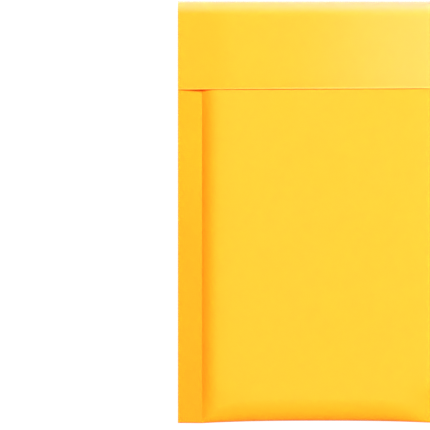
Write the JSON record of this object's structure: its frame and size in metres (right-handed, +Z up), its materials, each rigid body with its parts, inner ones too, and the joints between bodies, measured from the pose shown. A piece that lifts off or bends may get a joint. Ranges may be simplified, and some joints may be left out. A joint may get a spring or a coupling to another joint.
{
  "type": "padded envelope",
  "caption": "Small yellow padded envelope, empty and lying flat, with its flap folded down, flat side seams and an air-bubble lining.",
  "frame": {"origin": "middle of the outline, on the surface that the envelope lies on, under the flat of the address panel", "axes": "+X across the width, +Y up the height towards the top fold, +Z up through the thickness, out of the rear panel and the flap"},
  "size_m": [0.12, 0.177, 0.0084],
  "materials": {
    "yellow_paper": "smooth, slightly satin, dyed through",
    "bubble_film": "milky clear polyethylene film with air bubbles",
    "hot_melt_adhesive": "pale amber, tacky",
    "release_paper": "white, slick, coated on one side"
  },
  "bodies": {
    "root": {"paper_cover": "yellow_paper", "bubble_lining": "bubble_film", "adhesive_strip": "hot_melt_adhesive", "release_liner": "release_paper"}
  },
  "joints": []
}
